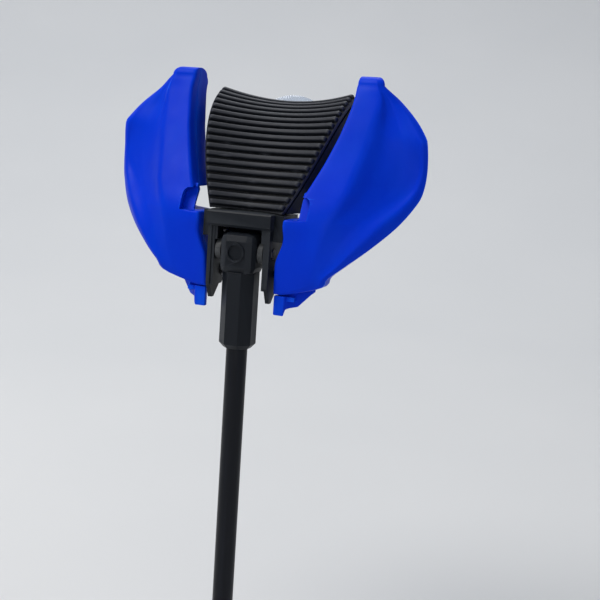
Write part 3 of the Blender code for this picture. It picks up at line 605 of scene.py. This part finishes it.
def smooth_run(points, steps):
    """A smooth curve through the points, without its first point."""
    points = np.array(points)
    lengths = np.linalg.norm(np.diff(points, axis=0), axis=1)
    slopes = [(points[1] - points[0]) / lengths[0]]
    for i in range(1, len(points) - 1):
        slopes.append((points[i + 1] - points[i - 1]) / (lengths[i - 1] + lengths[i]))
    slopes.append((points[-1] - points[-2]) / lengths[-1])
    run = []
    for i, length in enumerate(lengths):
        for t in np.linspace(0.0, 1.0, steps + 1)[1:]:
            h01 = t * t * (3 - 2 * t)
            run.append(points[i] * (1 - h01) + points[i + 1] * h01
                       + slopes[i] * length * t * (1 - t) ** 2
                       + slopes[i + 1] * length * t * t * (t - 1))
    return run


def hollow_depth(z):
    """Depth of the shallow valley beside the crease, which fades out at its ends."""
    rise = min(max((z - NOTCH_Z[0]) / HOLLOW_RISE, 0.0), 1.0)
    fall = min(max((HOLLOW_TOP - z) / HOLLOW_FALL, 0.0), 1.0)
    return HOLLOW_DEPTH * rise * fall


def front_outline(z, levels):
    """The few points that shape the front shell at height z, from parting line to rim."""
    xi, yi, xc, yc, xf, yf, xr, yr, parting, _ = levels
    dip = hollow_depth(z)
    bulge = RIM_BULGE * (xr - xf)
    points = [(xi, yi + parting), (xi, yi), (xc, yc)]
    points += [(xc + (xf - xc) * share, yc + (yf - yc) * share + dip * depth)
               for share, depth in VALLEY_POINTS]
    points += [(xf, yf), ((xf + xr) / 2 + bulge, (yf + yr) / 2 - bulge), (xr, yr)]
    return np.array(points)


def rear_outline(z, levels):
    """The few points that shape the rear shell at height z, from parting line to rim."""
    xi, yi, _, _, _, _, xr, yr, parting, back = levels
    start = yi + parting + GAP
    least, most = REAR_SIDE
    inner_back = max(start + least, min(back - 1.0, start + most))
    reach = float(np.interp(z, REAR_REACH_LEVELS, REAR_REACHES))
    edge_back = max(yr + GAP + 0.4, min(back - 0.5, yr + reach))
    middle = (wing_values(z)[0] + xr) / 2
    return np.array([(xi, start), (xi, inner_back), ((xi + middle) / 2, (inner_back + back) / 2),
                     (middle, back), ((middle + xr) / 2, (back + edge_back) / 2),
                     (xr - 0.8, edge_back), (xr, yr + GAP)])


def front_curve(z, levels):
    """The front shell's outside at height z, with its corners rounded."""
    points = front_outline(z, levels)
    corner = soft_corner(points[0], points[1], points[2], BAND_CORNER, CORNER_STEPS)
    crease = soft_corner(points[1], points[2], points[3], CREASE_REACH, CORNER_STEPS)
    fold = soft_corner(points[4], points[5], points[6], FOLD_REACH, CORNER_STEPS)
    band = [corner[-1] * (1 - t) + crease[0] * t for t in (0.2, 0.4, 0.6, 0.8)]
    wall = [points[0] * (1 - t) + corner[0] * t for t in (0.0, 0.5)]
    valley = smooth_run([crease[-1], points[3], points[4], fold[0]], RUN_STEPS)
    rim = smooth_run([fold[-1], points[6], points[7]], RUN_STEPS)
    return wall + corner + band + crease + valley + fold[1:] + rim


def rear_curve(z, levels):
    """The rear shell's outside at height z, with its corner rounded."""
    points = rear_outline(z, levels)
    corner = soft_corner(points[0], points[1], points[2], BAND_CORNER, CORNER_STEPS)
    wall = [points[0] * (1 - t) + corner[0] * t for t in (0.0, 0.5)]
    return wall + corner + smooth_run([corner[-1], *points[2:]], RUN_STEPS)


def inset_outline(points, side):
    """The outline moved in by the wall, to the left of its run where side is 1."""
    moved = []
    for index, (x, y) in enumerate(points):
        before = points[max(index - 1, 0)]
        after = points[min(index + 1, len(points) - 1)]
        run = Vector((after[0] - before[0], after[1] - before[1])).normalized()
        moved.append([x - side * run.y * WING_WALL, y + side * run.x * WING_WALL])
    moved[0] = [points[0][0] + WING_WALL, points[0][1]]
    moved[-1] = [points[-1][0] - WING_WALL, points[-1][1]]
    for index in range(len(moved) - 2, -1, -1):
        moved[index][0] = min(moved[index][0], moved[index + 1][0] - 0.01)
    for index in range(1, len(moved)):
        moved[index][0] = max(moved[index][0], moved[0][0])
    return np.array(moved)


def evenly(points, count):
    """The polyline through the points, cut to count evenly spaced points."""
    lengths = np.linalg.norm(np.diff(points, axis=0), axis=1)
    along = np.concatenate(([0.0], np.cumsum(lengths)))
    spots = np.linspace(0.0, along[-1], count)
    return np.stack([np.interp(spots, along, points[:, i]) for i in range(2)], axis=1)


def inner_level(z):
    """The height of the inside of the wall at each height of the outside."""
    low, high = NOTCH_Z
    outside = (WING_BOTTOM, low - 0.001, low + 0.001, high - 0.001, high + 0.001, WING_TIP)
    inside = (WING_BOTTOM + WING_WALL, low - WING_WALL, low - WING_WALL + 0.3,
              high + WING_WALL - 0.3, high + WING_WALL, WING_TIP - WING_WALL)
    return float(np.interp(z, outside, inside))


def wing_rows():
    """Heights of the wing's rows: close at its rounded edges and its domed tip."""
    edge = [EDGE_ROUNDING * (1 - math.cos(a)) for a in np.radians((12, 32, 50, 68, 90))]
    low, high = NOTCH_Z
    rows = [WING_BOTTOM + HAIR + d for d in edge]
    rows += list(np.arange(WING_BOTTOM + 2.0, low - EDGE_ROUNDING - 0.3, ROW_STEP))
    rows += [low - HAIR - d for d in reversed([0.0] + edge)]
    lower, upper = NOTCH_CORNERS
    rows += [low + HAIR + lower * (1 - math.cos(a)) for a in np.radians((0, 30, 60, 90))]
    rows += list(np.arange(low + 1.4, high - upper - 0.3, ROW_STEP))
    rows += [high - HAIR - upper * (1 - math.cos(a)) for a in np.radians((90, 70, 50, 30, 0))]
    rows += [high + HAIR + d for d in [0.0] + edge]
    rows += list(np.arange(high + 1.8, WING_TIP - TIP_DOME - 0.4, ROW_STEP))
    rows += [WING_TIP - TIP_DOME * (1 - math.sin(a)) for a in np.radians(np.arange(0, 86, 8))]
    return rows


def soften_row(curve, z, levels, shift, front):
    """The curve at height z, drawn in where it nears the wing's lower end or the notch.

    No point crosses the parting surface, moved back by shift.
    """
    low, high = NOTCH_Z
    end_drop = corner_drop(z - WING_BOTTOM, EDGE_ROUNDING)
    notch_drop = 0.0
    if z < low:
        notch_drop = corner_drop(low - z, EDGE_ROUNDING)
    elif z > high:
        notch_drop = corner_drop(z - high, EDGE_ROUNDING)
    row = []
    for x, y in curve:
        near_notch = min(max((NOTCH_X[front] + NOTCH_FADE - x) / NOTCH_FADE, 0.0), 1.0)
        drop = max(end_drop, notch_drop * near_notch)
        x = max(x, levels[0] + drop)
        x = min(x, levels[6] - end_drop)
        limit = parting_y(levels, x) + shift
        y = min(y + drop, limit) if front else max(y - drop, limit)
        row.append((x, y, z))
    return row


def wing_skins(outline, curve, front):
    """Outer and inner grids of one wing shell, closed towards the parting surface."""
    side = 1 if front else -1
    shift = 0.0 if front else GAP
    outer = []
    inner = []
    for z in wing_rows():
        in_notch = NOTCH_Z[0] < z < NOTCH_Z[1]
        levels = notch_levels(z, NOTCH_X[front]) if in_notch else wing_values(z)
        points = curve(z, levels)
        outer.append(soften_row(points, z, levels, shift, front))
        depth = inner_level(z)
        deep = list(wing_values(depth))
        if in_notch:
            deep = stepped_out(deep, NOTCH_X[front])
        row = []
        for x, y in evenly(inset_outline(outline(depth, deep), side), len(points)):
            limit = parting_y(deep, x) + shift
            row.append((x, min(y, limit) if front else max(y, limit), depth))
        inner.append(row)
    for end, place in ((WING_BOTTOM, 0), (WING_TIP, len(outer) + 1)):
        near = 0 if place == 0 else -1
        for grid, z in ((outer, end), (inner, inner_level(end))):
            levels = wing_values(z)
            cap = [(x, parting_y(levels, x) + shift, z) for x, _, _ in grid[near]]
            grid.insert(place, cap)
    return outer, inner


def recess_block(name, reach, front, back):
    """A block over the recess, grown by reach: front and back are y from the recess's back.

    Its back leans as the recess does, and so does its front where it is grown.
    """
    low, high = (NOTCH_Z[0] - reach, NOTCH_Z[1] + reach)
    near, far = RECESS_X[0], RECESS_X[1] + reach
    radius = RECESS_CORNER + reach
    outline = [(near, low), (far, low)]
    outline += [(far - radius + radius * math.cos(a), high - radius + radius * math.sin(a))
                for a in np.radians(np.arange(0, 91, 10))]
    outline.append((near, high))
    start, lean = RECESS_Y
    rings = []
    for depth, leaning in ((front, reach > 0), (back, True)):
        rings.append([(x, start + depth + leaning * lean * (z - NOTCH_Z[0]), z)
                      for x, z in outline])
    return loft(name, rings)


def box(name, low, high):
    """A block between its lowest and highest corners."""
    outline = ((low[0], low[1]), (high[0], low[1]), (high[0], high[1]), (low[0], high[1]))
    return prism(name, outline, 2, low[2], high[2])


def skirt_wall():
    """The wall that hangs below a wing, following its plan line."""
    faces = []
    for plan in (SKIRT_FRONT, SKIRT_BACK):
        faces.append([[(x, y, z) for (x, y), z in zip(plan, levels)]
                      for levels in (SKIRT_BOTTOMS, SKIRT_TOPS)])
    return bevelled(thick_sheet("skirt", *faces), 0.35)


def front_shell():
    """The right wing's front shell, with the shallow recess beside its notch."""
    shell = thick_sheet("front_shell_right", *wing_skins(front_outline, front_curve, True))
    backing = recess_block("recess_backing", BACKING_REACH, *BACKING_Y)
    beside = box("backing_cut", (0.0, -20.0, 180.0), (NOTCH_X[True] + GAP, 20.0, 200.0))
    backing = boolean(backing, [("DIFFERENCE", beside)])
    recess = recess_block("recess", 0.0, RECESS_CUT_Y, 0.0)
    return shade(boolean(shell, [("UNION", backing), ("DIFFERENCE", recess)]))


def rear_shell():
    """The right wing's rear shell, with its skirt and the holes for its screws."""
    shell = thick_sheet("rear_shell_right", *wing_skins(rear_outline, rear_curve, False))
    tools = [("UNION", box("skirt_bridge", *SKIRT_BRIDGE)),
             ("UNION", box("skirt_shelf", *SKIRT_SHELF)), ("UNION", skirt_wall())]
    hole = [(SIDE_HOLE_RADIUS, 0.0), (SIDE_HOLE_RADIUS, SIDE_HOLE_LENGTH)]
    for index, (y, z) in enumerate(SIDE_SCREW_SPOTS):
        rings = tube_rings(hole, (SIDE_HOLE_X, y, z), (1, 0, 0), 24)
        tools.append(("DIFFERENCE", loft(f"wing_hole_{index}", rings)))
    return shade(boolean(shell, tools))


def build_wings():
    """Both wings: the left one's shells are the right one's, mirrored."""
    for half, mesh in (("front", front_shell()), ("rear", rear_shell())):
        add_piece(f"{half}_shell_left", mirrored_mesh(mesh, f"{half}_shell_left"),
                  f"wing_{half}_left")
        add_piece(f"{half}_shell_right", mesh, f"wing_{half}_right")


# ---------------------------------------------------------------- pad

def pad_half_width(s):
    """Half the pad's width at s along it."""
    start, growth, slowing = PAD_SPREAD
    return start + growth * s - slowing * s * s


def pad_lean(s):
    """How far the pad leans back at s along it, in radians."""
    low, high = PAD_LEANS
    return low + (high - low) * (np.maximum(s, 0.0) / PAD_LENGTH) ** PAD_LEAN_POWER


def pad_spine(s):
    """y and z of the pad's edge line at s along it."""
    steps = np.linspace(0.0, s, SPINE_STEPS + 1)
    leans = pad_lean((steps[1:] + steps[:-1]) / 2)
    step = s / SPINE_STEPS
    return PAD_START[0] + np.sin(leans).sum() * step, PAD_START[1] + np.cos(leans).sum() * step


def pad_point(s, across, height):
    """A point of the pad: s along its edge, across from -1 to 1, height above the rib tops."""
    lean = float(pad_lean(s))
    y, z = pad_spine(s)
    part = s / PAD_LENGTH
    middle = 1.0 - across * across
    sag = (PAD_SAG[0] + PAD_SAG[1] * part) * middle
    bow = (PAD_BOW[0] + PAD_BOW[1] * part) * middle
    drop = height - sag
    y += -math.cos(lean) * drop + math.sin(lean) * bow
    z += math.sin(lean) * drop + math.cos(lean) * bow
    return (pad_half_width(s) * across, y, z)


def pad_columns():
    """Places across the pad: close together where the ribs' ends round off."""
    ends = [1.0 - 0.10 * (1 - math.cos(a)) for a in np.radians(np.arange(0, 91, 9))]
    middle = list(np.linspace(-0.86, 0.86, 27))
    return [-e for e in ends] + middle + ends[::-1]


def rib_end_drop(s, across):
    """Share of the rib's height that its rounded end takes away."""
    margin = (1.0 - abs(across)) * pad_half_width(s) - RIB_MARGIN
    if margin >= RIB_END:
        return 0.0
    reach = 1.0 - max(margin, 0.0) / RIB_END
    return 1.0 - math.sqrt(1.0 - reach * reach)


def build_pad():
    """The ribbed face, a curved sheet that is cut level at the head's floor."""
    below, above = PAD_ENDS
    steps = [(-below, 1.0)]
    for index in range(RIB_COUNT):
        steps += [(index * RIB_PITCH + along, depth) for along, depth in RIB_PROFILE]
    steps.append((PAD_LENGTH + above, 1.0))
    columns = pad_columns()
    front = []
    back = []
    for s, depth in steps:
        row = []
        for across in columns:
            drop = depth + (1.0 - depth) * rib_end_drop(s, across)
            row.append(pad_point(s, across, -RIB_HEIGHT * drop))
        front.append(row)
        back.append([pad_point(s, across, -PAD_BACK_DEPTH) for across in columns])
    mesh = thick_sheet("ribbed_face", front, back, 50.0)
    floor = prism("pad_floor", ((-60, -30), (60, -30), (60, 60), (-60, 60)), 2, 150, HEAD_FLOOR_Z)
    mesh = boolean(mesh, [("DIFFERENCE", floor)])
    add_piece("ribbed_face", shade(mesh, 50.0), "rib_pad")


# ---------------------------------------------------------------- pole, ferrule and cup

def build_pole():
    """The pole, a plain rod with rounded ends."""
    low, high = node_box("pole_rod")
    radius = high[0]
    bottom, top = low[2], high[2]
    profile = [(radius - 0.5, bottom), (radius - 0.15, bottom + 0.12), (radius, bottom + 0.5)]
    profile += [(radius, bottom + (top - bottom) * t) for t in (0.25, 0.5, 0.75)]
    profile += [(radius, top - 0.5), (radius - 0.15, top - 0.12), (radius - 0.5, top)]
    add_piece("pole_tube", loft("pole_tube", tube_rings(profile, (0, 0, 0), (0, 0, 1), 72)),
              "pole_rod")


def turned_shell(name, outer, inner, segments, shape=None):
    """A turned piece with a bore, from its outer and inner profiles of (radius, height)."""
    rings = tube_rings(outer, (0, 0, 0), (0, 0, 1), segments, shape)
    rings += tube_rings(inner, (0, 0, 0), (0, 0, 1), segments)
    bm = bmesh.new()
    levels = [[bm.verts.new(Vector(p) * MM) for p in ring] for ring in rings]
    join_rings(bm, levels + levels[:1])
    return mesh_from_bmesh(name, bm)


def build_ferrule():
    """The grooved ferrule that closes the pole's lower end."""
    low, high = node_box("pole_ferrule")
    radius, top = high[0], high[2]
    outer = [(0.6, 0.0), (radius - 1.0, 0.0), (radius - 0.45, 0.25), (radius - 0.1, 0.7),
             (radius, 1.2)]
    for groove in GROOVE_LEVELS:
        outer += [(radius, groove - 0.5), (radius - GROOVE_DEPTH, groove - 0.3),
                  (radius - GROOVE_DEPTH, groove + 0.3), (radius, groove + 0.5)]
    outer += [(radius, top - 0.8), (radius - 0.2, top - 0.25), (radius - 0.6, top)]
    inner = [(POLE_BORE + BORE_FLARE, top), (POLE_BORE, top - 0.3), (POLE_BORE, 6.2), (0.6, 6.0)]
    mesh = turned_shell("ferrule_body", outer, inner, 72)
    add_piece("ferrule_body", mesh, "pole_ferrule")


def build_collar():
    """The fluted ring above the ferrule."""
    low, high = node_box("ferrule_collar")
    radius = high[0]
    bottom, top = low[2], high[2]

    def fluted(reach, angle, along):
        depth = FLUTE_DEPTH * max(0.0, math.cos(FLUTE_COUNT * angle)) ** 2
        fade = min(max((along - bottom - 0.6) / 0.8, 0.0), 1.0)
        fade *= min(max((top - 0.6 - along) / 0.8, 0.0), 1.0)
        return reach - depth * fade

    outer = [(radius - 0.5, bottom), (radius - 0.12, bottom + 0.15), (radius, bottom + 0.5)]
    outer += [(radius, bottom + 0.5 + (top - bottom - 1.0) * t)
              for t in np.linspace(0.05, 0.95, 16)]
    outer += [(radius, top - 0.5), (radius - 0.12, top - 0.15), (radius - 0.5, top)]
    inner = [(POLE_BORE + BORE_FLARE, top), (POLE_BORE, top - 0.3),
             (POLE_BORE, bottom + 0.3), (POLE_BORE + BORE_FLARE, bottom)]
    add_piece("collar_ring", turned_shell("collar_ring", outer, inner, 144, fluted),
              "ferrule_collar")


def build_cup():
    """The clear cup: a shallow cone with a rounded lip and a neck for its stud."""
    low, high = node_box("suction_cup")
    centre = ((low[0] + high[0]) / 2, high[1], (low[2] + high[2]) / 2)
    radius = (high[0] - low[0]) / 2
    lip = [(radius, 0.35 + 0.35 * math.sin(a)) for a in np.radians((-50, 0, 50))]
    profile = [(0.4, 1.9), (6.0, 1.75), (12.0, 1.3), (radius - 2.5, 0.45), (radius - 0.5, 0.04)]
    profile += lip
    profile += [(radius - 0.6, 0.95), (radius - 3.0, 1.45), (12.0, 2.9), (7.0, 3.55), (5.2, 3.9),
                (4.6, 4.3), (4.6, 5.6), (4.3, 6.0), (2.6, 6.0), (2.3, 5.7), (2.3, 3.3), (0.4, 3.2)]
    add_piece("cup_disc", loft("cup_disc", tube_rings(profile, centre, (0, -1, 0), 96)),
              "suction_cup")


# ---------------------------------------------------------------- screws and CAD pieces

def cross_recess(size, depth):
    """Two crossed wedges that cut the recess of a screw head."""
    blades = []
    for index in range(2):
        half = (size, size * 0.26) if index == 0 else (size * 0.26, size)
        rings = [[(sx * half[0] * f, sy * half[1] * f, z)
                  for sx, sy in ((-1, -1), (1, -1), (1, 1), (-1, 1))]
                 for f, z in ((0.45, depth), (1.0, -0.5))]
        blades.append(("DIFFERENCE", loft(f"blade_{index}", rings)))
    return blades


def build_screw(name, node, seat, direction, length, head):
    """A pan-head screw with a cross recess, whose head rests on seat."""
    dome = [(head * math.sin(a), -SCREW_DOME * math.cos(a))
            for a in np.radians((8, 25, 42, 58, 74))]
    profile = dome + [(head, -0.25), (head, 0.0), (SHANK_RADIUS, 0.0)]
    for turn in np.arange(THREAD_PITCH, length - THREAD_STOP, THREAD_PITCH):
        profile += [(SHANK_RADIUS, turn), (SHANK_RADIUS - THREAD_DEPTH, turn + THREAD_PITCH / 2)]
    profile += [(SHANK_RADIUS, length - TIP_LENGTH), (SHANK_RADIUS * 0.4, length)]
    body = loft(name, tube_rings(profile, (0, 0, SCREW_DOME), (0, 0, 1), 40))
    body = boolean(body, cross_recess(head * 0.55, 1.0))
    turn = Vector(direction).to_track_quat("Z", "Y").to_matrix().to_4x4()
    place = Matrix.Translation(Vector(seat) * MM) @ turn
    body.transform(place @ Matrix.Translation((0, 0, -SCREW_DOME * MM)))
    add_piece(name, shade(body), node)


def build_screws():
    """Two screws in each wing's inner side, and one in each side of the carrier's foot."""
    for side, label in ((-1, "left"), (1, "right")):
        for (y, z), level in zip(SIDE_SCREW_SPOTS, ("lower", "upper")):
            node = f"wing_screw_{label}_{level}"
            build_screw(f"side_screw_{label}_{level}", node, (side * SIDE_SCREW_SEAT, y, z),
                        (side, 0, 0), *SIDE_SCREW_SIZE)
        low, high = node_box(f"deck_screw_{label}")
        seat = ((low[0] + high[0]) / 2, (low[1] + high[1]) / 2, high[2] - SCREW_DOME)
        build_screw(f"base_screw_{label}", f"deck_screw_{label}", seat, (0, 0, -1),
                    *DECK_SCREW_SIZE)


def dress_cad_nodes():
    """CAD pieces that keep their shape: joined faces, rounded edges and fine materials."""
    widths = {"stem_socket": 0.45, "clevis_frame": 0.3, "pad_carrier": 0.35, "pivot_pin": 0.3,
              "rod_pin": 0.25, "pivot_bush_left": 0.3, "pivot_bush_right": 0.3, "cup_stud": 0.3}
    for name, obj in frame["nodes"].items():
        obj.data.materials.clear()
        obj.data.materials.append(MATERIALS[SLOT_OF[name]])
        if name not in widths:
            continue
        weld = obj.modifiers.new("weld", "WELD")
        weld.merge_threshold = 0.000002
        flat = obj.modifiers.new("join_faces", "DECIMATE")
        flat.decimate_type = "DISSOLVE"
        flat.angle_limit = math.radians(0.5)
        bevel(obj, widths[name])
        smooth = obj.modifiers.new("shade", "WEIGHTED_NORMAL")
        smooth.keep_sharp = True


# ---------------------------------------------------------------- studio

def build_backdrop():
    """A pale round floor that curves up into a wall all round."""
    floor_radius, bend, wall_top = 0.6, 1.9, 2.6
    profile = [(0.001, 0.0), (0.3, 0.0), (floor_radius, 0.0)]
    profile += [(floor_radius + bend * math.sin(a), bend * (1 - math.cos(a)))
                for a in np.radians(np.arange(6, 91, 6))]
    profile.append((floor_radius + bend, wall_top))
    bm = bmesh.new()
    count = 96
    rings = []
    for radius, z in profile:
        rings.append([bm.verts.new((radius * math.cos(math.tau * i / count),
                                    radius * math.sin(math.tau * i / count), z))
                      for i in range(count)])
    join_rings(bm, rings)
    mesh = bpy.data.meshes.new("studio_floor")
    bm.to_mesh(mesh)
    bm.free()
    mesh.shade_smooth()
    mesh.materials.append(studio_paper())
    floor = bpy.data.objects.new("studio_floor", mesh)
    bpy.context.scene.collection.objects.link(floor)


def add_light(name, place, aim, size, power, colour):
    """A round lamp at place that shines towards aim."""
    data = bpy.data.lights.new(name, "AREA")
    data.shape = "DISK"
    data.size = size
    data.energy = power
    data.color = colour
    light = bpy.data.objects.new(name, data)
    light.location = place
    light.rotation_euler = (Vector(aim) - Vector(place)).to_track_quat("-Z", "Y").to_euler()
    bpy.context.scene.collection.objects.link(light)


def build_studio():
    """A soft sky, a key light, two fills and a lamp that washes the wall."""
    scene = bpy.context.scene
    world = bpy.data.worlds.new("studio_world")
    world.use_nodes = True
    background = world.node_tree.nodes["Background"]
    background.inputs["Color"].default_value = (0.88, 0.92, 1.0, 1.0)
    background.inputs["Strength"].default_value = 0.34
    scene.world = world
    scene.view_settings.view_transform = "Standard"
    aim = (0.0, 0.0, 0.19)
    add_light("key_light", (-0.55, -0.45, 1.15), aim, 0.8, 11.0, (1.0, 0.98, 0.95))
    add_light("front_fill", (0.35, -1.1, 0.55), aim, 0.8, 2.0, (0.9, 0.95, 1.0))
    add_light("back_fill", (-0.3, 0.9, 1.5), aim, 0.9, 6.5, (0.92, 0.96, 1.0))
    add_light("wall_wash", (-0.6, 0.9, 2.0), (-1.1, 2.0, 0.3), 1.2, 12.0, (0.92, 0.95, 1.0))


def build_camera():
    data = bpy.data.cameras.new("main_camera")
    data.lens = CAMERA_LENS
    data.sensor_width = 36.0
    data.clip_start = 0.01
    camera = bpy.data.objects.new("main_camera", data)
    turn = Matrix((CAMERA_RIGHT, CAMERA_UP, CAMERA_BACK)).transposed().to_4x4()
    camera.matrix_world = Matrix.Translation(CAMERA_PLACE) @ turn
    bpy.context.scene.collection.objects.link(camera)
    bpy.context.scene.camera = camera


# ---------------------------------------------------------------- the whole picture

MATERIALS = make_materials()
dress_cad_nodes()
build_wings()
build_pad()
build_pole()
build_ferrule()
build_collar()
build_cup()
build_screws()
build_backdrop()
build_studio()
build_camera()
